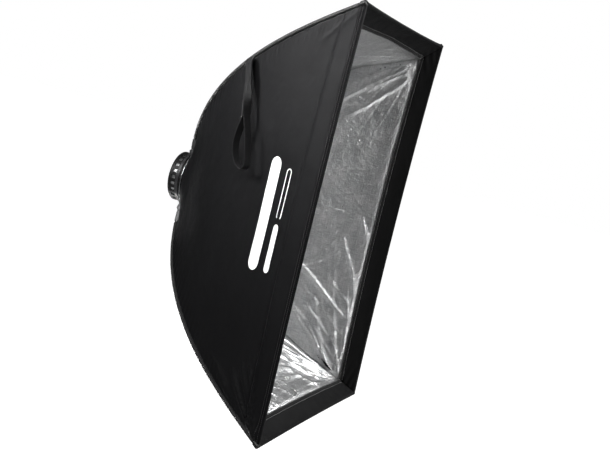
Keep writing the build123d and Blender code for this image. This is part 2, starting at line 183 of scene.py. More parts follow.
def rough_noise(x, y, seed):
    """Two octaves of noise."""
    return grad_noise(x, y, seed) + 0.5 * grad_noise(x * 2.03, y * 2.03, seed + 17)


def fold_lines(inset, offset, lines, seed):
    """Soft ridges along lines of (inset, offset) points; each has a height and a width, in mm."""
    out = np.zeros(np.broadcast(inset, offset).shape)
    for k, (points, height, width) in enumerate(lines):
        points = np.array(points, float) / 1000
        height, width = height / 1000, width / 1000
        nearest, reached, run = np.full(out.shape, 1e9), np.zeros(out.shape), 0.0
        lengths = np.linalg.norm(np.diff(points, axis=0), axis=1)
        for p, q, length in zip(points[:-1], points[1:], lengths):
            t = (q - p) / length
            s = np.clip((inset - p[0]) * t[0] + (offset - p[1]) * t[1], 0, length)
            side = (inset - p[0]) * t[1] - (offset - p[1]) * t[0]
            distance = (np.hypot(inset - p[0] - s * t[0], offset - p[1] - s * t[1])
                        * np.sign(side + 1e-12))
            closer = np.abs(distance) < np.abs(nearest)
            nearest = np.where(closer, distance, nearest)
            reached = np.where(closer, run + s, reached)
            run += length
        f = reached / run
        spread = 1.25 * width * (0.80 + 0.7 * f) * (1 + 0.2 * np.sin(9 * f + seed + k))
        wobble = 0.35 * width * grad_noise(f * 6 + k * 3.1, k * 1.7 + 0 * f, seed)
        taper = smooth(f / 0.12) * smooth((1 - f) / 0.35)
        x = (nearest + wobble) / spread
        # one side is steeper, as in a crease
        shape = 1.0 / (1.0 + np.where(x > 0, 0.8, 1.6) * x * x) ** 1.5
        out = out + height * shape * taper
    return out


# ---------------------------------------------------------------- the four panels as surfaces
# kind and side of the box; side panels face along X, end panels along Z
PANELS = {"left": ("side", -1), "right": ("side", 1), "top": ("end", 1), "bottom": ("end", -1)}
# (half where across >= 0, its rod), (half where across <= 0, its rod)
PANEL_HALVES = {
    "left": (("left_upper", "ul"), ("left_lower", "ll")),
    "right": (("right_upper", "ur"), ("right_lower", "lr")),
    "top": (("top_right", "ur"), ("top_left", "ul")),
    "bottom": (("bottom_right", "lr"), ("bottom_left", "ll")),
}


class Sheet:
    """Surface of one panel.

    along runs on the seam from the hub to the front, across from -1 to 1 between the seams.
    inset is the distance from the front edge, offset the distance from the middle.
    """

    def __init__(self, panel, curve, sag, relief, droop=None):
        self.panel, self.curve, self.sag, self.relief, self.droop = panel, curve, sag, relief, droop
        self.kind, self.sign = PANELS[panel]
        self.is_side = self.kind == "side"
        self.nominal_half = HEIGHT / 2 if self.is_side else WIDTH / 2
        self.angle = ROD_ANGLE if self.is_side else math.pi / 2 - ROD_ANGLE
        self.length = curve.length
        self.rear_radius, self.rear_y = (float(v) for v in curve.at(0.0))
        self.straight_from = float(curve.station(0.190))

    def extents(self, along, across=1.0):
        """y, and the reach sideways, up and down."""
        radius, y = self.curve.at(along)
        inset = self.length - along
        reach_x, up, down = X_SHARE * radius, Z_SHARE * radius, Z_SHARE * radius
        if self.droop:
            f = smooth(inset / 0.047) * (1 - smooth((inset - 0.055) / 0.17))
            up = up - self.droop["top"] * f * (0.45 + 0.55 * np.clip(np.abs(across), 0, 1))
            down = down - self.droop["bottom"] * f
            reach_x = reach_x - self.droop["sides"] * f
        return y, reach_x, up, down

    def half(self, along):
        _, reach_x, up, _ = self.extents(along)
        return up if self.is_side else reach_x

    def place(self, along, across):
        """Inset, offset and distance to the nearest seam."""
        half = self.half(along)
        return self.length - along, across * half, (1 - np.abs(across)) * half

    def straight(self, along, across):
        """The straight-sided section."""
        y, reach_x, up, down = self.extents(along, 1.0 if self.is_side else across)
        if self.is_side:
            z = across * np.where(across > 0, up, down)
            return np.stack([self.sign * reach_x, y, z], -1)
        return np.stack([across * reach_x, y, self.sign * (up if self.sign > 0 else down)], -1)

    def circle(self, radius, y, across):
        """The round section at the hub."""
        a = across * self.angle
        outward, lateral = self.sign * radius * np.cos(a), radius * np.sin(a)
        x, z = (outward, lateral) if self.is_side else (lateral, outward)
        return np.stack([x, y + 0 * a, z], -1)

    def hermite(self, u, across):
        """From the round rear edge to the straight-sided part, tangent to it."""
        start = self.circle(self.rear_radius, self.rear_y, across)
        end = self.straight(self.straight_from + 0 * across, across)
        ahead = self.straight(self.straight_from + 0.002 + 0 * across, across) - end
        chord = end - start
        tangent = unit(ahead) * np.linalg.norm(chord, axis=-1, keepdims=True)
        u = u[..., None]
        return ((2 * u ** 3 - 3 * u ** 2 + 1) * start + (u ** 3 - 2 * u ** 2 + u) * chord
                + (3 * u ** 2 - 2 * u ** 3) * end + (u ** 3 - u ** 2) * tangent)

    def flat(self, along, across):
        along, across = np.broadcast_arrays(np.asarray(along, float), np.asarray(across, float))
        out = self.straight(along, across)
        rear = along < self.straight_from
        if rear.any():
            u, q = np.clip(along[rear] / self.straight_from, 0, 1), across[rear]
            side = np.where(q >= 0, 1.0, -1.0)
            seam = self.straight(along[rear], side)
            # what the seam does beyond the plain sweep, fading into the panel
            extra = seam - self.hermite(u, side)
            fade = smooth((np.abs(q) - 0.30) / 0.70) ** 1.5
            turned = self.circle(np.hypot(extra[..., 0], extra[..., 2]), 0.0 * u, q)
            sign = np.sign(extra[..., 0] * seam[..., 0] + extra[..., 2] * seam[..., 2])
            shift = turned * sign[..., None] + np.stack([0 * u, extra[..., 1], 0 * u], -1)
            out[rear] = self.hermite(u, q) + fade[..., None] * shift
        return out

    def normal_of(self, surface, along, across):
        """Outward normal by differences 0.8 mm along and 0.0015 across."""
        before = np.clip(along - 0.0008, 0, self.length)
        after = np.clip(along + 0.0008, 0, self.length)
        d_along = surface(after, across) - surface(before, across)
        d_across = surface(along, across + 0.0015) - surface(along, across - 0.0015)
        n = np.cross(d_along, d_across)
        n = n / np.maximum(np.linalg.norm(n, axis=-1, keepdims=True), 1e-12)
        from_inside = surface(along, across) - np.array([0.0, -0.40, 0.0])
        return n * np.sign((n * from_inside).sum(-1, keepdims=True))

    def base(self, along, across):
        """The sagging panel without its relief."""
        p = self.flat(along, across)
        n = self.normal_of(self.flat, along, across)
        inset = self.length - along
        bow = 1 - np.clip(np.abs(across), 0, 1) ** 2.2
        p = p - n * (self.sag(along / self.length) * bow)[..., None]
        if self.is_side:        # the long front edges are also drawn back between the rod tips
            pull = (0.0054 + 0.0040 * smooth(inset / 0.047)) * (1 - smooth((inset - 0.06) / 0.16))
            p = p + np.stack([0 * bow, pull * bow, 0 * bow], -1)
        return p

    def point(self, along, across):
        n = self.normal_of(self.base, along, across)
        return self.base(along, across) + n * self.relief(self, along, across)[..., None]

    def normal(self, along, across):
        return self.normal_of(self.point, along, across)


# Sag towards the inside at the middle of a panel; f is 0 at the hub and 1 at the front.
def sag_side(f):
    front_relief = 1 - 0.60 * smooth((f - 0.80) / 0.18)
    return (0.0075 * smooth(f / 0.25) * front_relief
            + 0.0055 * bump(f - 0.55, 0.28) * smooth(f / 0.2))


def sag_end(f):
    return 0.0050 * smooth(f / 0.25) + 0.0035 * bump(f - 0.55, 0.28) * smooth(f / 0.2)


def sag_side_inner(f):
    return sag_side(f) + 0.0040 * bump(f - 0.905, 0.050)


def sag_top_inner(f):
    return sag_end(f) * (1 - 0.55 * smooth((f - 0.75) / 0.2))


def sag_bottom_inner(f):
    return sag_end(f) + 0.0065 * bump(f - 0.920, 0.045)


SEED = {"left": 11, "right": 23, "top": 37, "bottom": 53}


def mirror_lines(lines):
    return lines + [([(d, -b) for d, b in points], h, w) for points, h, w in lines]


# tension folds of the outer cloth near the front corners: [(inset, offset)...], height, width; mm
END_FOLDS = mirror_lines([([(4, 294), (60, 272), (150, 238)], 1.6, 6.0),
                          ([(4, 286), (52, 255), (110, 215)], 1.2, 5.0)])
OUTER_FOLDS = {
    "left": [
        ([(4, 444), (60, 424), (150, 372)], 1.8, 6.0),
        ([(4, 436), (52, 400), (110, 350)], 1.3, 5.0),
        ([(3, -446), (70, -413), (180, -345)], 6.2, 6.0),
        ([(3, -443), (60, -394), (140, -315)], 6.0, 6.0),
        ([(4, -438), (52, -374), (110, -290)], 5.4, 6.0),
        ([(10, -436), (90, -390), (240, -300)], 2.6, 7.0),
        ([(5, -430), (45, -350), (90, -270)], 4.0, 5.5),
        ([(5, -437), (28, -392), (44, -330), (58, -245)], 4.6, 4.5),
    ],
    "right": mirror_lines([([(4, 444), (60, 424), (150, 372)], 1.8, 6.0),
                           ([(4, 436), (52, 395), (110, 345)], 1.5, 5.0)]),
    "top": END_FOLDS,
    "bottom": END_FOLDS,
}


def outer_relief(sheet, along, across):
    """Relief of the outer cloth, outwards."""
    inset, offset, edge = sheet.place(along, across)
    seed = SEED[sheet.panel]
    # hem: ridges beside two sewn furrows
    z = (0.0012 * bump(inset - 0.0022, 0.0014) + 0.0011 * bump(inset - 0.0079, 0.0016)
         - 0.0006 * bump(inset - 0.0050, 0.0009) - 0.0006 * bump(inset - 0.0108, 0.0010))
    # pocket edge, pulled in harder low on the left
    crease = 0.0485 + 0.010 * (1 - across * across)
    deep = smooth((-offset - 0.06) / 0.24) if sheet.panel == "left" else 0 * offset
    z = z + 0.0006 * (1 - smooth((inset - crease + 0.004) / 0.008))
    z = z - (0.0011 + 0.0013 * deep) * bump(inset - crease, 0.0034)
    z = z + 0.0022 * deep * bump(inset - crease + 0.0085, 0.0050) * smooth(edge / 0.03)
    # puckers beside the seams
    pucker = np.sin(2 * math.pi * along / 0.0165 + 5 * grad_noise(along * 14, offset * 4, seed))
    z = z + (0.0008 * np.exp(-edge / 0.020) * pucker
             * smooth(edge / 0.004) * smooth(inset / 0.03))
    # slack and fine unevenness, none near the seams and the hub
    calm = smooth(edge / 0.06) * smooth((along - 0.03) / 0.08)
    slack = 0.35 + 0.65 * smooth((inset - 0.05) / 0.05)
    z = z + 0.0016 * rough_noise(offset * 5.5, along * 7.0, seed) * calm * slack
    z = z + 0.00035 * rough_noise(offset * 40, along * 40, seed + 5) * calm
    fade = smooth((edge - 0.002) / (0.012 + 0.016 * smooth((inset - 0.01) / 0.06)))
    z = z + fold_lines(inset, offset, OUTER_FOLDS[sheet.panel], seed) * fade
    return z - 0.0006


def fan(half, seed, count):
    """Random folds from both front corners towards the hub, in mm."""
    rng = np.random.RandomState(seed)
    out = []
    for side in (1, -1):
        for k in range(count):
            f = (k + rng.uniform(0.1, 0.9)) / count
            start = side * half * (0.93 - 0.62 * f)
            inset = 50 + rng.uniform(0, 30)
            length = rng.uniform(120, 250) * (1 - 0.35 * f)
            slope = 0.50 + 0.45 * (1 - f)
            points = [(inset, start),
                      (inset + length * 0.5, start - side * length * 0.5 * slope),
                      (inset + length, start - side * length * slope * 0.92)]
            height = rng.uniform(1.6, 4.2) * (1 - 0.3 * f)
            out.append((points, height, rng.uniform(4.0, 8.0)))
    return out


# folds of the silver lining: [(inset, offset)...], height, width; mm
LINING_FOLDS = {
    "right": [
        ([(50, 398), (96, 380), (158, 345), (229, 299), (330, 230)], 5.0, 10.0),
        ([(56, 384), (90, 364), (150, 326), (222, 274), (300, 220)], 4.2, 6.0),
        ([(52, 357), (97, 316), (120, 296), (158, 263), (230, 214)], 4.2, 5.0),
        ([(60, 372), (110, 340), (170, 300)], 3.0, 5.0),
        ([(70, 330), (130, 292), (190, 250), (250, 212)], 1.8, 8.0),
        ([(52, -262), (80, -247), (130, -216), (224, -160), (320, -110)], 4.6, 5.0),
        ([(66, -398), (100, -364), (163, -308), (225, -265), (330, -195)], 4.8, 9.0),
        ([(56, -402), (120, -352), (190, -300), (260, -254)], 2.4, 6.0),
        ([(55, -305), (150, -242), (240, -198)], 2.6, 6.0),
        ([(58, -345), (150, -276), (235, -228)], 3.2, 5.5),
        ([(52, -380), (120, -322), (200, -268)], 2.8, 5.0),
        ([(52, -225), (110, -190), (180, -150)], 2.2, 6.0),
        ([(127, -58), (114, -86), (92, -115), (76, -142), (56, -196)], 3.6, 4.5),
        ([(86, 0), (72, -28), (57, -60), (51, -125)], 3.0, 4.0),
        ([(70, -150), (60, -185), (52, -230)], 2.6, 4.0),
        ([(201, 91), (130, 108), (52, 123)], 0.35, 2.6),
        ([(213, 29), (130, 48), (50, 65)], 0.35, 2.6),
        ([(70, -408), (140, -366), (240, -303), (330, -240)], 1.8, 9.0),
    ],
    "left": fan(450, 71, 7), "top": fan(300, 72, 6), "bottom": fan(300, 73, 6),
}
# strength of the creases from the front corners, at across = 1 and across = -1
CORNER_PULL = {"left": (0.7, 0.7), "right": (0.25, 1.0), "top": (0.45, 0.45),
               "bottom": (0.7, 0.7)}
CRUMPLE = {"left": 0.8, "top": 0.6, "bottom": 0.8}     # on the right it varies with height
CORNER_RADIUS = 0.52                                   # rod reach at which corner creases start


def lining_relief(sheet, along, across):
    """Relief of the silver lining; its folds stand inwards."""
    inset, offset, edge = sheet.place(along, across)
    seed = SEED[sheet.panel] + 100
    if sheet.panel == "right":
        crumple = 0.22 + 0.78 * smooth((0.10 - offset) / 0.20)
    else:
        crumple = CRUMPLE[sheet.panel]
    z = fold_lines(inset, offset, LINING_FOLDS[sheet.panel], seed)
    # creases that radiate from the front corners
    corner = CORNER_RADIUS * (Z_SHARE if sheet.is_side else X_SHARE)
    for side, strength in zip((1, -1), CORNER_PULL[sheet.panel]):
        back, inward = inset - 0.028, (corner - side * offset) + 0.012
        reach, angle = np.hypot(back, inward), np.arctan2(back, np.maximum(inward, 1e-6))
        bent = angle * 7.5 + 0.5 * grad_noise(reach * 7, angle * 3, seed + 1)
        ridge = bump(rough_noise(bent, reach * 2.6, seed + 40 + side), 0.24)
        fade = smooth((reach - 0.015) / 0.05) * (1 - smooth((reach - 0.16) / 0.26))
        z = z + strength * 0.0034 * ridge * fade
    # soft creases drawn out along the pull of the cloth, and a fine crumple
    x = offset * 0.85 - np.sign(offset) * 0.50 * inset
    y = inset * 0.80 + np.abs(offset) * 0.50
    z = z + 0.0009 * bump(rough_noise(x * 20, y * 5.5, seed), 0.16) * crumple
    fine = bump(grad_noise(x * 48 + 3, y * 18, seed + 31), 0.22)
    z = z + 0.00050 * fine * (0.45 + 0.55 * crumple)
    z = z + 0.0014 * (0.5 + rough_noise(offset * 7, along * 8, seed + 9)) * 0.8
    # puckers beside the front band
    pucker = 0.5 + grad_noise(offset * 60, inset * 20, seed + 3)
    z = z + 0.0012 * bump(inset - 0.058, 0.018) * pucker * crumple
    inside = (smooth(edge / 0.020) * smooth((inset - 0.0455) / 0.013)
              * smooth((along - 0.012) / 0.05))
    # the lining passes under the rod roots
    radius = sheet.curve.at(along)[0]
    lateral = (1 - np.abs(across)) * sheet.angle * radius
    dip = (0.0062 * (1 - smooth((lateral - 0.009) / 0.010))
           * (1 - smooth((radius - 0.093) / 0.022)))
    return -np.clip(z, 0, 0.012) * inside - dip


def band_relief(sheet, along, across):
    """Relief of the front band: a step and ridge at its stitching, slack, corner ripples."""
    inset, offset, edge = sheet.place(along, across)
    z = -0.0016 + 0 * inset
    z = z - 0.0009 * smooth((inset - 0.0385) / 0.0012) + 0.0010 * bump(inset - 0.0376, 0.0009)
    slack = rough_noise(offset * 16, inset * 26, SEED[sheet.panel] + 200)
    z = z + 0.0008 * slack * smooth(inset / 0.008)
    ripple = 0.5 + 0.5 * np.sin(inset * 420 + 2 * edge * 60)
    return z - (0.0014 * bump(edge, 0.045) * ripple
                * smooth(edge / 0.006) * smooth(inset / 0.01))


DROOP = {"top": 0.0150, "bottom": 0.0010, "sides": 0.0020}     # inwards, behind the front edge
INNER_SAG = {"left": sag_side_inner, "right": sag_side_inner,
             "top": sag_top_inner, "bottom": sag_bottom_inner}
OUTER = {p: Sheet(p, SEAM, sag_side if PANELS[p][0] == "side" else sag_end, outer_relief)
         for p in PANELS}
LINING = {p: Sheet(p, LINING_SEAM, INNER_SAG[p], lining_relief, DROOP) for p in PANELS}
BANDS = {p: Sheet(p, LINING_SEAM, INNER_SAG[p], band_relief, DROOP) for p in PANELS}


# ---------------------------------------------------------------- mesh building
MATERIALS = {}


def new_mesh(name, verts, faces, materials, uv=None, normals=None, smooth_shade=True):
    mesh = bpy.data.meshes.new(name)
    mesh.from_pydata(np.asarray(verts, float).tolist(), [], faces)
    mesh.update()
    if smooth_shade:
        mesh.polygons.foreach_set("use_smooth", np.ones(len(mesh.polygons), bool))
    if uv is not None:
        layer = mesh.uv_layers.new(name="UVMap")
        corner = np.zeros(len(mesh.loops), np.int32)
        mesh.loops.foreach_get("vertex_index", corner)
        layer.data.foreach_set("uv", np.asarray(uv, np.float32)[corner].ravel())
    if normals is not None:
        mesh.normals_split_custom_set_from_vertices(np.asarray(normals, float).tolist())
    ob = bpy.data.objects.new(name, mesh)
    bpy.context.scene.collection.objects.link(ob)
    for material in materials:
        mesh.materials.append(MATERIALS[material])
    return ob


def quads(index, flip=False):
    a, b, c, d = index[:-1, :-1], index[1:, :-1], index[1:, 1:], index[:-1, 1:]
    return np.stack([a, d, c, b] if flip else [a, b, c, d], -1).reshape(-1, 4)


def close_columns(index):
    return np.c_[index, index[:, :1]]


def grid_index(rows, columns):
    return np.arange(rows * columns).reshape(rows, columns)


def uv_grid(u, v, shape):
    return np.stack([np.broadcast_to(u, shape), np.broadcast_to(v, shape)], -1)


def closed_sheet(front, back, normals, uv):
    """Thin solid between two grids of points: verts, faces, uvs and normals."""
    size = front.shape[0] * front.shape[1]
    index = grid_index(*front.shape[:2])
    row_step = front[1:, :-1] - front[:-1, :-1]
    column_step = front[:-1, 1:] - front[:-1, :-1]
    flip = (np.cross(row_step, column_step) * normals[:-1, :-1]).sum() < 0
    loop = np.r_[index[0, :], index[1:, -1], index[-1, -2::-1], index[-2:0:-1, 0]]
    following = np.r_[loop[1:], loop[:1]]
    rim = np.stack([loop, following, following + size, loop + size], -1)
    faces = [quads(index, flip), quads(index + size, not flip), rim if flip else rim[:, ::-1]]
    verts = np.concatenate([front.reshape(-1, 3), back.reshape(-1, 3)])
    both = np.concatenate([normals.reshape(-1, 3), -normals.reshape(-1, 3)])
    return verts, np.concatenate(faces), np.concatenate([uv.reshape(-1, 2)] * 2), both


def weight_of(across):
    u = np.clip((1 - np.abs(across) - 0.02) / 0.98, 0, 1)
    return 0.35 * smooth(u) + 0.65 * u


def bind(ob):
    """Bakes the object's placement into its mesh."""
    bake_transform(ob)


SEAM_COLUMNS = (0, 0.0012, 0.003, 0.0055, 0.009, 0.0135, 0.019, 0.026)   # from the seam


def columns(half, step, near_seam=SEAM_COLUMNS):
    """across values from -1 to 1, closer together near the seams; 0 is always one of them."""
    near = [x / half for x in near_seam]
    rest = 1 - near[-1]
    count = max(4, int(round(rest * half / step)))
    from_middle = 1 - np.r_[near[:-1], np.linspace(near[-1], 1.0, count)]
    return np.r_[-from_middle, from_middle[::-1][1:]]


def rows(length, step, dense=()):
    """along values from 0 to length; dense holds (first inset, last inset, finer step)."""
    t = list(np.arange(0, length, step)) + [length]
    for first, last, fine in dense:
        t = [x for x in t if not (length - last < x < length - first)]
        t += list(np.arange(length - last, length - first + 1e-9, fine))
    t = np.array(sorted(set(np.round(t, 6))))
    return t[np.r_[True, np.diff(t) > 0.0004]]


def notched(sheet, along, across):
    """The rear edge runs round the rod bracket: rows start further out near the seam."""
    lateral = (1 - np.abs(across)) * sheet.angle * 0.086
    start = SEAM.station(0.0955) * (1 - smooth((lateral - 0.0085) / 0.007))
    remaining = np.clip(1 - along[:, None] / sheet.length, 0, 1)
    return along[:, None] + start[None, :] * remaining ** 7


# ---------------------------------------------------------------- materials
class Shader:
    """Node tree of a material or world. Capitalised keywords are inputs, others settings."""

    def __init__(self, owner, main):
        owner.use_nodes = True
        self.tree = owner.node_tree
        self.main = self.tree.nodes[main]

    def plug(self, socket, value):
        if isinstance(value, bpy.types.NodeSocket):
            self.tree.links.new(value, socket)
        elif value is not None:
            socket.default_value = value

    def set(self, node, **values):
        for key, value in values.items():
            if key[0].islower():
                setattr(node, key, value)
            else:
                self.plug(node.inputs[key.replace("_", " ")], value)

    def add(self, kind, **values):
        node = self.tree.nodes.new("ShaderNode" + kind)
        self.set(node, **values)
        return node

    def calc(self, operation, *values, kind="Math", output=0, **settings):
        node = self.add(kind, operation=operation, **settings)
        for socket, value in zip(node.inputs, values):
            self.plug(socket, value)
        return node.outputs[output]

    def coords(self, kind="UV"):
        return self.add("TexCoord").outputs[kind]

    def noise(self, vector, scale, detail=4.0, rough=0.55, distort=0.0):
        return self.add("TexNoise", Vector=vector, Scale=scale, Detail=detail,
                        Roughness=rough, Distortion=distort).outputs["Fac"]

    def stretched(self, vector, scale):
        return self.add("Mapping", Vector=vector, Scale=scale).outputs[0]

    def ramp(self, factor, *stops):
        """Two stops of (position, grey or colour)."""
        node = self.add("ValToRGB", Fac=factor)
        for element, (position, c) in zip(node.color_ramp.elements, stops):
            element.position = position
            element.color = (c, c, c, 1) if isinstance(c, (int, float)) else (*c, 1)
        return node.outputs["Color"]

    def mix(self, factor, first, second, blend="MIX"):
        return self.add("MixRGB", blend_type=blend, Fac=factor, Color1=first,
                        Color2=second).outputs[0]

    def bump(self, height, strength, depth, normal=None):
        return self.add("Bump", Strength=strength, Distance=depth, Height=height,
                        Normal=normal).outputs["Normal"]

    def wave(self, coordinate, frequency):
        return self.calc("SINE", self.calc("MULTIPLY", coordinate, frequency))

    def weave(self, vector, pitch):
        """Plain weave height from a UV map in metres."""
        axes = self.add("SeparateXYZ", Vector=vector).outputs
        sx, sy = (self.wave(axes[i], 2 * math.pi / pitch) for i in (0, 1))
        product = self.calc("MULTIPLY", sx, sy)
        threads = self.calc("ADD", self.calc("ABSOLUTE", sx), self.calc("ABSOLUTE", sy))
        return self.calc("ADD", self.calc("MULTIPLY", product, 0.5),
                         self.calc("MULTIPLY", threads, 0.25))


def new_shader(name):
    MATERIALS[name] = bpy.data.materials.new(name)
    return Shader(MATERIALS[name], "Principled BSDF")


def shade(colour, factor):
    return tuple(c * factor for c in colour)


def cloth_material(name, colour, rough, sheen, pitch, blotch=0.25, weave_depth=0.00012, spec=0.4):
    s = new_shader(name)
    uv = s.coords()
    blotches = s.ramp(s.noise(uv, scale=7.0, detail=5.0),
                      (0.25, shade(colour, 1 - blotch)), (0.75, shade(colour, 1 + blotch)))
    fibres = s.ramp(s.noise(uv, scale=900.0, detail=3.0), (0.3, 0.6), (0.7, 1.3))
    gloss = s.ramp(s.noise(uv, scale=30.0), (0.3, rough - 0.05), (0.7, rough + 0.06))
    uneven = s.bump(s.noise(uv, scale=60.0), strength=0.10, depth=0.0015)
    s.set(s.main, Base_Color=s.mix(0.5, blotches, fibres, "MULTIPLY"), Roughness=gloss,
          Specular_IOR_Level=spec, Sheen_Weight=sheen, Sheen_Roughness=0.45,
          Normal=s.bump(s.weave(uv, pitch), strength=0.55, depth=weave_depth, normal=uneven))


def silver_material(name):
    s = new_shader(name)
    uv = s.coords()
    colour = s.ramp(s.noise(uv, scale=18.0, detail=5.0),
                    (0.3, (0.45, 0.455, 0.46)), (0.7, (0.62, 0.62, 0.62)))
    gloss = s.ramp(s.noise(uv, scale=26.0, detail=5.0), (0.3, 0.27), (0.7, 0.40))
    # sharp creases along warped cell edges
    jitter = s.add("TexNoise", Vector=uv, Scale=30.0, Detail=3.0).outputs["Color"]
    small = s.add("VectorMath", operation="SCALE", Vector=jitter, Scale=0.02).outputs[0]
    warped = s.calc("ADD", uv, small, kind="VectorMath")
    cells = s.add("TexVoronoi", feature="DISTANCE_TO_EDGE", Vector=warped, Scale=42.0)
    crease = s.ramp(cells.outputs["Distance"], (0.0, 0.0), (0.12, 1.0))
    # thick threads both ways
    slub = s.calc("MULTIPLY", *(
        s.noise(s.stretched(uv, scale), scale=1.0, detail=3.0, rough=0.6)
        for scale in ((38.0, 620.0, 1.0), (620.0, 38.0, 1.0))))
    crinkle = s.noise(uv, scale=70.0, detail=7.0, rough=0.70, distort=0.6)
    normal = s.bump(crinkle, strength=0.60, depth=0.0030)
    normal = s.bump(crease, strength=0.12, depth=0.0004, normal=normal)
    grain = s.noise(uv, scale=300.0, detail=4.0, rough=0.6)
    normal = s.bump(grain, strength=0.62, depth=0.0010, normal=normal)
    normal = s.bump(slub, strength=0.55, depth=0.0009, normal=normal)
    normal = s.bump(s.weave(uv, 0.0016), strength=0.40, depth=0.00014, normal=normal)
    slub_shade = s.ramp(slub, (0.15, 0.50), (0.34, 1.0))
    s.set(s.main, Metallic=1.0, Roughness=gloss, Normal=normal,
          Base_Color=s.mix(0.75, colour, slub_shade, "MULTIPLY"))


def webbing_material(name, colour, pitch, spec=0.16):
    s = new_shader(name)
    uv = s.coords()
    axes = s.add("SeparateXYZ", Vector=uv).outputs
    frequency = 2 * math.pi / pitch
    ribs = s.calc("ABSOLUTE", s.wave(axes[1], frequency))
    threads = s.calc("ABSOLUTE", s.wave(axes[0], frequency * 0.5))
    height = s.calc("ADD", ribs, s.calc("MULTIPLY", threads, 0.5))
    s.set(s.main,
          Base_Color=s.ramp(s.noise(uv, scale=220.0),
                            (0.3, shade(colour, 0.7)), (0.7, shade(colour, 1.4))),
          Roughness=0.50, Specular_IOR_Level=spec, Sheen_Weight=0.02, Sheen_Roughness=0.4,
          Normal=s.bump(height, strength=0.8, depth=0.00035))


def hard_material(name, colour, metallic, rough, grain=400.0, depth=0.00005,
                  brushed=False, wear=0.0, edge=0.0006, spec=0.5):
    """Metal or moulded plastic, in object space, with softened edges and light wear on them."""
    s = new_shader(name)
    place = s.coords("Object")
    patches = s.noise(place, scale=35.0, detail=5.0)
    tint = s.ramp(patches, (0.3, shade(colour, 0.91)),
                  (0.7, tuple(min(1, c * 1.08) for c in colour)))
    if wear > 0:
        rounded = s.add("Bevel", Radius=edge * 1.6).outputs[0]
        true_normal = s.add("NewGeometry").outputs["Normal"]
        aligned = s.calc("DOT_PRODUCT", rounded, true_normal, kind="VectorMath", output="Value")
        edges = s.calc("MULTIPLY", s.calc("SUBTRACT", 1.0, aligned), 9.0, use_clamp=True)
        worn = s.calc("MULTIPLY", edges, s.calc("MULTIPLY", patches, wear), use_clamp=True)
        tint = s.mix(worn, tint, (*(min(1, c * 2.2 + 0.10) for c in colour), 1))
    if brushed:
        fine = s.noise(s.stretched(place, (1.0, 18.0, 1.0)), scale=260.0)
    else:
        fine = s.noise(place, scale=grain, detail=3.0)
    bevel = s.add("Bevel", Radius=edge).outputs[0]
    s.set(s.main, Metallic=metallic, Specular_IOR_Level=spec, Base_Color=tint,
          Roughness=s.ramp(fine, (0.3, max(0.03, rough - 0.07)), (0.7, rough + 0.07)),
          Normal=s.bump(fine, strength=0.5, depth=depth, normal=bevel))


cloth_material("nylon_black", (0.0056, 0.0056, 0.0060), rough=0.45, sheen=0.0, pitch=0.0011,
               blotch=0.12, spec=0.05)
cloth_material("band_black", (0.0045, 0.0045, 0.0047), rough=0.60, sheen=0.0, pitch=0.0015,
               blotch=0.20, weave_depth=0.0002, spec=0.06)
cloth_material("hook_black", (0.0065, 0.0065, 0.0065), rough=0.85, sheen=0.03, pitch=0.0022,
               blotch=0.2, weave_depth=0.0005, spec=0.12)
webbing_material("piping_black", (0.0110, 0.0110, 0.0113), pitch=0.0030, spec=0.30)
webbing_material("webbing_black", (0.0075, 0.0075, 0.0078), pitch=0.0024)
silver_material("foil_silver")
cloth_material("lining_back", (0.03, 0.03, 0.031), rough=0.7, sheen=0.02, pitch=0.0012)
hard_material("thread_black", (0.035, 0.035, 0.036), metallic=0.0, rough=0.55,
              grain=900.0, depth=0.0001, edge=0.0001)
hard_material("thread_grey", (0.22, 0.22, 0.22), metallic=0.0, rough=0.55,
              grain=900.0, depth=0.0001, edge=0.0001)
hard_material("print_white", (0.88, 0.88, 0.87), metallic=0.0, rough=0.55,
              grain=600.0, depth=0.00004, edge=0.0001)
hard_material("anodised_black", (0.0065, 0.0065, 0.0068), metallic=0.0, rough=0.36,
              grain=500.0, depth=0.00003, wear=0.5, spec=0.28)
hard_material("plastic_black", (0.0065, 0.0065, 0.0065), metallic=0.0, rough=0.42,
              grain=520.0, depth=0.00008, wear=0.4, spec=0.20)
hard_material("rubber_black", (0.012, 0.012, 0.012), metallic=0.0, rough=0.78,
              grain=420.0, depth=0.00012)
hard_material("alu_satin", (0.60, 0.61, 0.62), metallic=1.0, rough=0.28, brushed=True, wear=0.1)
hard_material("grey_metal", (0.10, 0.10, 0.102), metallic=1.0, rough=0.50, brushed=True,
              wear=0.15)
hard_material("steel_zinc", (0.17, 0.172, 0.175), metallic=1.0, rough=0.46, brushed=True,
              wear=0.1)
hard_material("index_grey", (0.055, 0.055, 0.057), metallic=0.5, rough=0.34,
              grain=500.0, depth=0.00003, wear=0.6)

slots = {part["node"]: part["material_slot"] for part in frame["record"]["subparts"]}
for node_name, ob in frame["nodes"].items():
    ob.data.materials.clear()
    ob.data.materials.append(MATERIALS[slots[node_name]])


# ---------------------------------------------------------------- cloth, lining and front band
def build_halves(name, part, panel, across, grids, slot, extra=None, extra_faces=None):
    """Two closed half panels, cut on the pleat line, from front, back, normal and UV grids."""
    middle = int(np.argmin(np.abs(across)))
    parts = (slice(middle, len(across)), slice(0, middle + 1))
    for (half, rod), part_columns in zip(PANEL_HALVES[panel], parts):
        verts, faces, uv, normals = closed_sheet(*(grid[:, part_columns] for grid in grids))
        materials = [slot, extra] if extra else [slot]
        ob = new_mesh(f"{name}_{half}", verts, faces.tolist(), materials, uv, normals)
        if extra:
            chosen = extra_faces(faces, uv).astype(np.int32)
            ob.data.polygons.foreach_set("material_index", chosen)
        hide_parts(f"{half}_{part}")
        bind(ob)


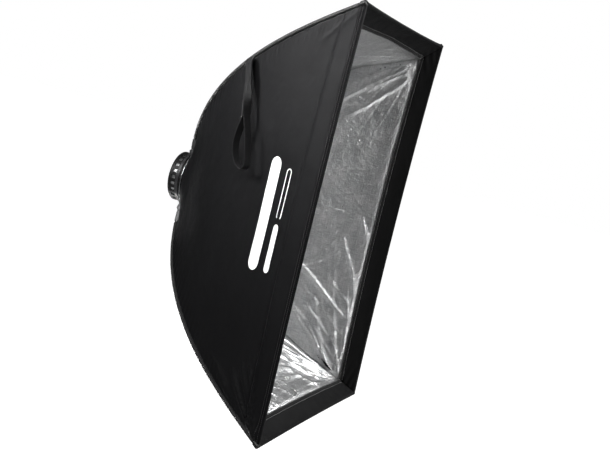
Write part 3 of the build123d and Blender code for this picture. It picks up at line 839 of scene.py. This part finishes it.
def build_outer(panel):
    sheet = OUTER[panel]
    t = rows(sheet.length, CLOTH_STEP, [(0.0, 0.012, 0.0007), (0.044, 0.063, 0.0010)])
    q = columns(sheet.nominal_half, CLOTH_STEP)
    along = notched(sheet, t, q)
    across = np.broadcast_to(q[None, :], along.shape)
    front, normals = sheet.point(along, across), sheet.normal(along, across)
    uv = np.stack([across * sheet.half(along) + 1.0, along], -1)
    grids = (front, front - normals * 0.0007, normals, uv)
    build_halves("cloth", "shell", panel, q, grids, "nylon_black")


def build_lining(panel):
    sheet = LINING[panel]
    t = rows(sheet.length - 0.038, LINING_STEP)
    q = columns(sheet.nominal_half, LINING_STEP, (0, 0.002, 0.0045, 0.0075))
    along = t[:, None] + 0 * q[None, :]
    across = np.broadcast_to(q[None, :], along.shape)
    front, normals = sheet.point(along, across), sheet.normal(along, across)
    uv = np.stack([across * sheet.half(along) + 1.0, along], -1)
    grids = (front, front + normals * 0.0005, -normals, uv)

    def outer_face(faces, uv):
        return faces.min(1) >= len(uv) // 2

    build_halves("silver", "lining", panel, q, grids, "foil_silver", "lining_back", outer_face)


def build_band(panel):
    """Bead round the front edge, then 47 mm of cloth inside."""
    outer, sheet = OUTER[panel], BANDS[panel]
    q = columns(sheet.nominal_half, CLOTH_STEP)
    row = q[None, :]
    outside = outer.point(np.full_like(row, outer.length), row)
    outside = outside - outer.normal(np.full_like(row, outer.length - 0.0005), row) * 0.00035
    inside = sheet.point(np.full_like(row, sheet.length), row)
    centre, arm = (outside + inside) / 2, (outside - inside) / 2
    arm_length = np.linalg.norm(arm, axis=-1, keepdims=True)
    forward = np.array([0.0, -1.0, 0.0]) * np.ones_like(arm)
    forward = forward - arm * ((forward * arm).sum(-1, keepdims=True) / arm_length ** 2)
    forward = unit(forward)
    turn = np.linspace(0, math.pi, 9)[:-1, None, None]
    bead = centre + arm * np.cos(turn) + forward * arm_length * 0.85 * np.sin(turn)
    bead_normals = arm / arm_length * np.cos(turn) + forward * np.sin(turn)
    inset = np.unique(np.round(np.r_[
        0, 0.0012, 0.003, np.arange(0.006, 0.035, 0.004),
        np.arange(0.0355, 0.0471, 0.0006), BAND_DEPTH], 5))
    along = (sheet.length - inset)[:, None] + 0 * row
    across = row + 0 * along
    front = np.concatenate([bead, sheet.point(along, across)])
    normals = np.concatenate([bead_normals, -sheet.normal(along, across)])
    depth = np.r_[np.linspace(-0.008, -0.001, 8), inset]
    thickness = np.r_[np.linspace(0.0004, 0.0009, 8), np.full(len(inset), 0.0011)]
    back = front - normals * thickness[:, None, None]
    uv = uv_grid(row * sheet.nominal_half + 1.0, depth[:, None], front.shape[:2])

    def hook_strip(faces, uv):
        """Hook-and-loop strip along the rear of the band."""
        return uv[:, 1][faces].mean(1) > 0.0390

    build_halves("band", "front_band", panel, q, (front, back, normals, uv), "band_black",
                 "hook_black", hook_strip)


for panel in PANELS:
    build_outer(panel)
    build_lining(panel)
    build_band(panel)


# ---------------------------------------------------------------- stitches
# rings of one thread: (share of its length, share of its radius, lift in radii)
THREAD_RINGS = [(0.0, 0.35, -0.3), (0.14, 0.9, 0.35), (0.5, 1.1, 0.6), (0.86, 0.9, 0.35),
                (1.0, 0.35, -0.3)]
THREAD_SIDES = 6


def thread_mesh(starts, ends, normals, radius):
    """Short threads lying on a surface: verts, faces and verts per thread."""
    span = ends - starts
    length = np.linalg.norm(span, axis=1, keepdims=True)
    axis = span / length
    side = unit(np.cross(axis, normals))
    up = np.cross(side, axis)
    verts = []
    for share, size, lift in THREAD_RINGS:
        centre = starts + axis * length * share + up * radius * lift
        for j in range(THREAD_SIDES):
            a = 2 * math.pi * j / THREAD_SIDES
            verts.append(centre + side * (math.cos(a) * radius * size)
                         + up * (math.sin(a) * radius * size * 0.8))
    per = len(verts)
    index = close_columns(grid_index(len(THREAD_RINGS), THREAD_SIDES))
    a, b = index[:-1], index[1:]
    wall = np.stack([a[:, :-1], a[:, 1:], b[:, 1:], b[:, :-1]], -1).reshape(-1, 4)
    shifts = np.arange(len(starts)) * per
    faces = (wall[None] + shifts[:, None, None]).reshape(-1, 4).tolist()
    caps = [list(range(THREAD_SIDES))[::-1], list(range(per - THREAD_SIDES, per))]
    faces += [[c + i * per for c in cap] for i in range(len(starts)) for cap in caps]
    return np.stack(verts, 1).reshape(-1, 3), faces, per


def stitch_line(sheet, along, across, pitch=0.0042, fill=0.68, facing=1):
    """Starts, ends, normals and across values of threads on a path; facing -1 is inside."""
    s = run_length(sheet.point(along, across))
    count = int(s[-1] / pitch)
    first = (np.arange(count) + 0.15) * s[-1] / count
    last = first + fill * s[-1] / count
    (t0, q0), (t1, q1) = ((np.interp(at, s, along), np.interp(at, s, across))
                          for at in (first, last))
    middle = (q0 + q1) / 2
    normals = sheet.normal((t0 + t1) / 2, middle) * facing
    return sheet.point(t0, q0), sheet.point(t1, q1), normals, middle


def add_stitches(name, panel, lines, radius, material):
    starts, ends, normals, across = [np.concatenate(x) for x in zip(*lines)]
    for (half, rod), m in zip(PANEL_HALVES[panel], (across >= 0, across < 0)):
        verts, faces, per = thread_mesh(starts[m], ends[m], normals[m], radius)
        ob = new_mesh(f"{name}_{half}", verts, faces, [material])
        bind(ob)


for panel in PANELS:
    sheet, q = OUTER[panel], np.linspace(-0.995, 0.995, 400)
    lines = [stitch_line(sheet, np.full_like(q, sheet.length - inset), q)
             for inset in (0.0052, 0.0108)]
    t = np.linspace(0.085, sheet.length - 0.016, 260)
    lines += [stitch_line(sheet, t, side * (1 - 0.0085 / sheet.half(t))) for side in (1, -1)]
    add_stitches("stitching", panel, lines, 0.00038, "thread_black")
    sheet, q = BANDS[panel], np.linspace(-0.985, 0.985, 400)
    lines = [stitch_line(sheet, np.full_like(q, sheet.length - inset), q,
                         pitch=0.0036, fill=0.70, facing=-1) for inset in (0.0376, 0.0458)]
    add_stitches("band_stitching", panel, lines, 0.00042, "thread_grey")


# ---------------------------------------------------------------- rod sleeves (ribbed piping)
SLEEVE_RADIUS, SLEEVE_SIDES = 0.0046, 20


def build_sleeve(corner, sign_x, sign_z):
    start, end = ROD.station(0.1205), ROD.station(0.5325)
    t = np.r_[start, np.arange(start + 0.0012, end - 0.0012, 0.0036), end]
    angle = np.arange(SLEEVE_SIDES) / SLEEVE_SIDES * 2 * math.pi
    distance, y = (v[:, None] for v in ROD.at(t))
    normal_r, normal_y = (v[:, None] for v in ROD.normal(t))
    # uneven cloth, with a raised seam along one side
    radius = (SLEEVE_RADIUS + 0.00028 * grad_noise(t[:, None] * 55, angle[None, :] * 1.3, 5)
              + 0.0007 * bump(angle[None, :] - 1.45 * math.pi, 0.35))
    radius = radius * np.r_[0.93, np.ones(len(t) - 2), 0.9][:, None]

    def wall(radius):
        r = distance + normal_r * radius * np.sin(angle)
        lateral = radius * np.cos(angle)
        x = sign_x * (X_SHARE * r) + sign_x * Z_SHARE * lateral
        z = sign_z * Z_SHARE * r - sign_z * X_SHARE * lateral
        return np.stack([x, y + normal_y * radius * np.sin(angle), z], -1).reshape(-1, 3)

    shape = (len(t), SLEEVE_SIDES)
    index = grid_index(*shape)
    outer, inner = close_columns(index), close_columns(index + index.size)
    mirrored = sign_x * sign_z > 0
    faces = [quads(outer, flip=mirrored), quads(inner, flip=not mirrored)]
    for row, reverse in ((0, False), (-1, True)):
        o, i = outer[row], inner[row]
        ring = np.stack([o[:-1], o[1:], i[1:], i[:-1]], -1)
        faces.append(ring[:, ::-1] if reverse != mirrored else ring)
    uv = uv_grid(angle[None, :] * SLEEVE_RADIUS, t[:, None], shape).reshape(-1, 2)
    ob = new_mesh(f"piping_{corner}", np.concatenate([wall(radius), wall(radius * 0.80)]),
                  np.concatenate(faces).tolist(), ["piping_black"], np.concatenate([uv, uv]))
    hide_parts(f"rod_sleeve_{corner}")
    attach(ob, f"rod_assembly_{corner}")


for corner, signs in CORNERS.items():
    build_sleeve(corner, *signs)


# ---------------------------------------------------------------- printed bars, left panel
BAR_STEP = 0.004


def solid_bar(d0, d1, b0, b1):
    """Inset and offset grids of a filled bar with round ends."""
    r, centre = (d1 - d0) / 2, (d0 + d1) / 2
    cap = r * (1 - np.cos(np.linspace(0, math.pi / 2, 9)))
    b = np.linspace(b0, b1, max(8, int((b1 - b0) / BAR_STEP)))
    b = np.unique(np.r_[b, b0 + cap, b1 - cap, 0.0 if b0 < 0 < b1 else b0])
    x = np.clip(np.minimum(b - b0, b1 - b) / r, 0, 1)
    height = r * np.sqrt(np.clip(1 - (1 - x) ** 2, 0.0004, 1))
    return (centre + np.linspace(-1, 1, 9)[:, None] * height[None, :],
            np.broadcast_to(b[None, :], (9, len(b))))


def open_bar(d0, d1, b0, b1, line):
    """Inset and offset grids of the outline of such a bar, line wide."""
    r, centre = (d1 - d0) / 2, (d0 + d1) / 2
    count = max(4, int((b1 - b0 - 2 * r) / BAR_STEP))

    def loop(shrink):
        rr = r - shrink
        a = np.linspace(0, math.pi, 17)
        low = np.stack([centre + rr * np.cos(a), b0 + r - rr * np.sin(a)], 1)
        high = np.stack([centre - rr * np.cos(a), b1 - r + rr * np.sin(a)], 1)
        b = np.linspace(b0 + r, b1 - r, count)[:-1]
        near = np.stack([np.full(len(b), centre - rr), b], 1)
        far = np.stack([np.full(len(b), centre + rr), b[::-1]], 1)
        return np.concatenate([low, near, high, far, low[:1]])

    outer, inner = loop(0.0), loop(line)
    grid = np.stack([outer, (outer + inner) / 2, inner])
    return grid[..., 0], grid[..., 1]


def print_bar(name, inset, offset):
    """Thin patch on the left cloth, split on the pleat line."""
    sheet = OUTER["left"]
    for (half, rod), sign in zip(PANEL_HALVES["left"], (1, -1)):
        here = np.where((offset * sign >= -1e-9).all(0))[0]
        pieces, faces, count = [], [], 0
        for run in np.split(here, np.where(np.diff(here) > 1)[0] + 1):
            if len(run) < 2:
                continue
            d, b = inset[:, run], offset[:, run]
            along = sheet.length - d
            across = b / sheet.half(along)
            base, normals = sheet.point(along, across), sheet.normal(along, across)
            verts, piece_faces, uv, both = closed_sheet(
                base + normals * 0.00045, base + normals * -0.00025, normals,
                np.stack([b + 1, d], -1))
            faces += (piece_faces + count).tolist()
            count += len(verts)
            weights = np.concatenate([weight_of(across).ravel()] * 2)
            pieces.append((verts, uv, both, weights))
        if pieces:
            verts, uv, both, weights = [np.concatenate(x) for x in zip(*pieces)]
            ob = new_mesh(f"{name}_{half}", verts, faces, ["print_white"], uv, both)
            bind(ob)


# first and last inset, first and last offset
print_bar("print_bar_wide", *solid_bar(0.128, 0.163, -0.118, 0.120))
print_bar("print_bar_thin", *solid_bar(0.086, 0.103, -0.113, -0.012))
print_bar("print_bar_open", *open_bar(0.086, 0.103, -0.002, 0.104, line=0.0022))


# ---------------------------------------------------------------- rear cuff round the hub plate
# closed section of (radius, y)
CUFF_SECTION = np.array([
    (0.0706, -0.0463), (0.0706, -0.0451), (0.0755, -0.0449), (0.0768, -0.0446),
    (0.0780, -0.0444), (0.0791, -0.0448), (0.0797, -0.0456), (0.0796, -0.0466),
    (0.0802, -0.0500), (0.0812, -0.0540), (0.0808, -0.0546), (0.0796, -0.0512),
    (0.0786, -0.0486), (0.0766, -0.0474), (0.0740, -0.0466)])


def build_cuff(sides=288):
    shape = (sides, len(CUFF_SECTION))
    a = (np.arange(sides) / sides * 2 * math.pi)[:, None]
    k = np.arange(shape[1])[None, :]
    # gathers, strongest on the outer face
    gather = 0.00045 * np.sin(a * 46 + k * 0.25) * np.where((k > 2) & (k < 9), 1.0, 0.3)
    radius = CUFF_SECTION[None, :, 0] + gather
    y = np.broadcast_to(CUFF_SECTION[None, :, 1], shape)
    verts = np.stack([radius * np.cos(a), y, radius * np.sin(a)], -1)
    index = close_columns(grid_index(*shape))
    index = np.r_[index, index[:1]]
    uv = uv_grid(a * 0.077, np.linspace(0, 0.02, shape[1])[None], shape).reshape(-1, 2)
    ob = new_mesh("rear_cuff", verts.reshape(-1, 3), quads(index).tolist(), ["nylon_black"], uv)
    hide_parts("fabric_cuff")
    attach(ob, "hub")


build_cuff()

# ---------------------------------------------------------------- carry loop
strap_joint = [j for j in frame["joints"] if j["name"] == "strap_swing"][0]
strap_top, strap_end = Vector((-0.2118, -0.2126, 0.2910)), Vector((-0.2408, -0.2746, 0.0760))
hinge_axis = Vector(strap_joint["axis"]).normalized()
hang = (strap_end - strap_top).normalized()
TOP, SIDEWAYS, DOWN, OUT = (np.array(v) for v in (
    strap_top, hinge_axis, hang, hinge_axis.cross(hang).normalized()))

# centre line, (down, sideways, out): one strand down, round the bottom and back up
LOOP_POINTS = [
    (0.003, 0.0012, 0.0032), (0.030, 0.0012, 0.0038), (0.060, 0.0014, 0.0046),
    (0.090, 0.0016, 0.0062), (0.112, 0.0026, 0.0082), (0.130, 0.0100, 0.0095),
    (0.150, 0.0215, 0.0100), (0.172, 0.0285, 0.0100), (0.193, 0.0275, 0.0098),
    (0.210, 0.0205, 0.0096), (0.2205, 0.0105, 0.0095), (0.2245, 0.0000, 0.0095),
    (0.2185, -0.0080, 0.0095), (0.200, -0.0108, 0.0095), (0.170, -0.0106, 0.0095),
    (0.140, -0.0075, 0.0092), (0.112, -0.0026, 0.0080), (0.090, -0.0016, 0.0062),
    (0.060, -0.0014, 0.0046), (0.030, -0.0012, 0.0038), (0.003, -0.0012, 0.0032)]
TAB_POINTS = [(-0.0105, -0.0012), (-0.008, 0.0006), (-0.005, 0.0022), (-0.001, 0.0032),
              (0.004, 0.0035)]                       # (down, out)
# half of the ribbon's section, in widths and thicknesses; the rest is its point reflection
RIBBON_SECTION = [(-0.5, -0.15), (-0.5, 0.15), (-0.485, 0.42), (-0.45, 0.5), (-0.3, 0.44),
                  (-0.15, 0.5), (0, 0.46), (0.15, 0.5), (0.3, 0.44), (0.45, 0.5),
                  (0.485, 0.42), (0.5, 0.15)]
FULL_TURN = math.radians(78)


def strap_turn(down):
    """Webbing lies flat (0) at the seam and turns on edge (1) towards the loop."""
    return smooth((down - 0.035) / 0.070)


def strap_point(down, sideways, out):
    return TOP + DOWN * down + SIDEWAYS * sideways + OUT * out


def tube_faces(rings, sides):
    """Quads of a tube, then its two ends."""
    ends = [list(range(sides)), [(rings - 1) * sides + j for j in range(sides)][::-1]]
    return quads(close_columns(grid_index(rings, sides))).tolist() + ends


def ribbon(name, path, width, width_dirs, thickness):
    """Webbing strip along a path, with rounded selvedges."""
    tangents = unit(np.gradient(path, axis=0))
    width_dirs = unit(width_dirs - tangents * (width_dirs * tangents).sum(1, keepdims=True))
    normals = np.cross(tangents, width_dirs)
    width = np.broadcast_to(width, len(path))[:, None]
    section = np.array(RIBBON_SECTION + [(-x, -y) for x, y in RIBBON_SECTION])
    x, y = section[None, :, 0] * width, section[None, :, 1] * thickness
    verts = (path[:, None, :] + width_dirs[:, None, :] * x[..., None]
             + normals[:, None, :] * y[..., None])
    uv = uv_grid(x, run_length(path)[:, None], x.shape).reshape(-1, 2)
    ob = new_mesh(name, verts.reshape(-1, 3), tube_faces(*x.shape), ["webbing_black"], uv)
    return ob


def build_loop():
    points = natural_spline(LOOP_POINTS, 220)
    path = np.array([strap_point(*p) for p in points])
    turn = strap_turn(points[:, 0])
    angle = turn * FULL_TURN
    width_dirs = np.cos(angle)[:, None] * SIDEWAYS + np.sin(angle)[:, None] * OUT
    # flat strands lie one on the other at the seam
    going_down = np.arange(len(points)) < int(np.argmax(points[:, 0]))
    flat = (1 - turn)[:, None]
    path = (path + flat * (np.where(going_down, 1.0, -1.0) * 0.0008)[:, None] * OUT
            + flat * (-points[:, 1])[:, None] * SIDEWAYS)
    ob = ribbon("carry_loop", path, 0.0150 + 0.0035 * (1 - turn), width_dirs, 0.0014)
    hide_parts("strap_loop")
    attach(ob, "strap")


def build_patch(rings=40, sides=28):
    """Ribbed sleeve of webbing wrapped round both strands."""
    verts = []
    for k, s in enumerate(np.linspace(0.080, 0.117, rings)):
        angle = float(strap_turn(s)) * FULL_TURN
        wide = SIDEWAYS * math.cos(angle) + OUT * math.sin(angle)
        thick = np.cross(DOWN, wide)
        out = float(np.interp(s, [0.06, 0.09, 0.112, 0.13], [0.0046, 0.0062, 0.0081, 0.0093]))
        centre = TOP + DOWN * s + OUT * out
        rib = 1.0 + 0.10 * math.sin(s * 2 * math.pi / 0.0034)
        end = 0.86 if k in (0, rings - 1) else 1.0
        for j in range(sides):
            a = 2 * math.pi * j / sides
            cx, cy = math.cos(a), math.sin(a)
            x = math.copysign(abs(cx) ** 0.45, cx) * 0.0098 * end
            y = math.copysign(abs(cy) ** 0.6, cy) * 0.0030 * rib * end
            verts.append(centre + wide * x + thick * y)
    uv = uv_grid(np.arange(sides) / sides * 0.03, np.linspace(0, 0.037, rings)[:, None],
                 (rings, sides)).reshape(-1, 2)
    ob = new_mesh("carry_loop_patch", verts, tube_faces(rings, sides), ["webbing_black"], uv)
    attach(ob, "strap")


def build_tab(samples=24):
    """Tab sewn into the top left seam."""
    points = [strap_point(down, 0.0, out) for down, out in TAB_POINTS]
    ob = ribbon("carry_loop_tab", natural_spline(points, samples), 0.0215,
                np.tile(SIDEWAYS, (samples, 1)), 0.0036)
    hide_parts("strap_tab")
    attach(ob, "rod_assembly_ul")


build_loop()
build_patch()
build_tab()


# ---------------------------------------------------------------- floor, world, lights, camera
def build_floor(half=30, drop=1.10):
    """Pale floor that glows only for the camera."""
    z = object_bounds()[0].z - drop
    s = new_shader("floor_pale")
    glow = s.calc("MULTIPLY", s.add("LightPath").outputs["Is Camera Ray"], 1.02)
    s.set(s.main, Base_Color=(0.60, 0.60, 0.60, 1), Roughness=0.9, Specular_IOR_Level=0.1,
          Emission_Color=(1, 1, 1, 1), Emission_Strength=glow)
    verts = [(-half, -half, z), (half, -half, z), (half, half, z), (-half, half, z)]
    new_mesh("floor", verts, [[0, 1, 2, 3]], ["floor_pale"], smooth_shade=False)


def build_world():
    """White for the camera, almost dark for everything else."""
    world = bpy.data.worlds.new("studio")
    s = Shader(world, "Background")
    camera_ray = s.add("LightPath").outputs["Is Camera Ray"]
    strength = s.add("Mix", data_type="FLOAT", A=0.03, B=1.0, Factor=camera_ray)
    s.set(s.main, Color=(1, 1, 1, 1), Strength=strength.outputs["Result"])
    bpy.context.scene.world = world


def area_light(name, location, target, size, watts, spread=math.pi):
    light = bpy.data.lights.new(name, "AREA")
    light.energy = watts
    light.shape = "RECTANGLE"
    light.size = light.size_y = size
    light.spread = spread
    ob = bpy.data.objects.new(name, light)
    ob.location = location
    ob.rotation_mode = "QUATERNION"
    ob.rotation_quaternion = (Vector(target) - Vector(location)).to_track_quat("-Z", "Y")
    bpy.context.scene.collection.objects.link(ob)


def build_camera():
    data = bpy.data.cameras.new("camera")
    data.sensor_width = 36.0
    data.lens = 60.125902
    data.clip_start, data.clip_end = 0.05, 100
    ob = bpy.data.objects.new("camera", data)
    bpy.context.scene.collection.objects.link(ob)
    right = Vector((0.3645, -0.90098, 0.23534))
    down = Vector((-0.02486, -0.26205, -0.96473))
    forward = Vector((0.93087, 0.34579, -0.11791))
    matrix = Matrix((right, -down, -forward)).transposed().to_4x4()
    matrix.translation = Vector((-2.1513, -1.1358, 0.2422))
    ob.matrix_world = matrix
    bpy.context.scene.camera = ob


build_floor()
build_world()
area_light("key_left", (-1.70, 0.06, 1.32), target=(-0.28, -0.38, 0.26), size=0.7, watts=55)
area_light("rear_left", (-1.05, 0.95, 0.72), target=(-0.27, -0.42, 0.42), size=0.5, watts=6.0,
           spread=0.9)
area_light("front", (-0.05, -3.30, 0.15), target=(-0.02, -0.35, 0.0), size=0.9, watts=9)
area_light("front_top", (-0.50, -2.55, 1.95), target=(0.05, -0.35, -0.15), size=0.8, watts=54)
area_light("front_right_top", (1.20, -2.35, 1.75), target=(0.0, -0.35, -0.30), size=0.8,
           watts=118)
area_light("front_low", (0.15, -1.92, -1.20), target=(0.0, -0.35, 0.25), size=0.6, watts=16)
area_light("rim", (0.95, 1.45, -1.20), target=(-0.1, -0.15, -0.15), size=0.4, watts=58)
build_camera()
bpy.context.scene.view_settings.view_transform = "Standard"
bpy.context.scene.view_settings.look = "None"
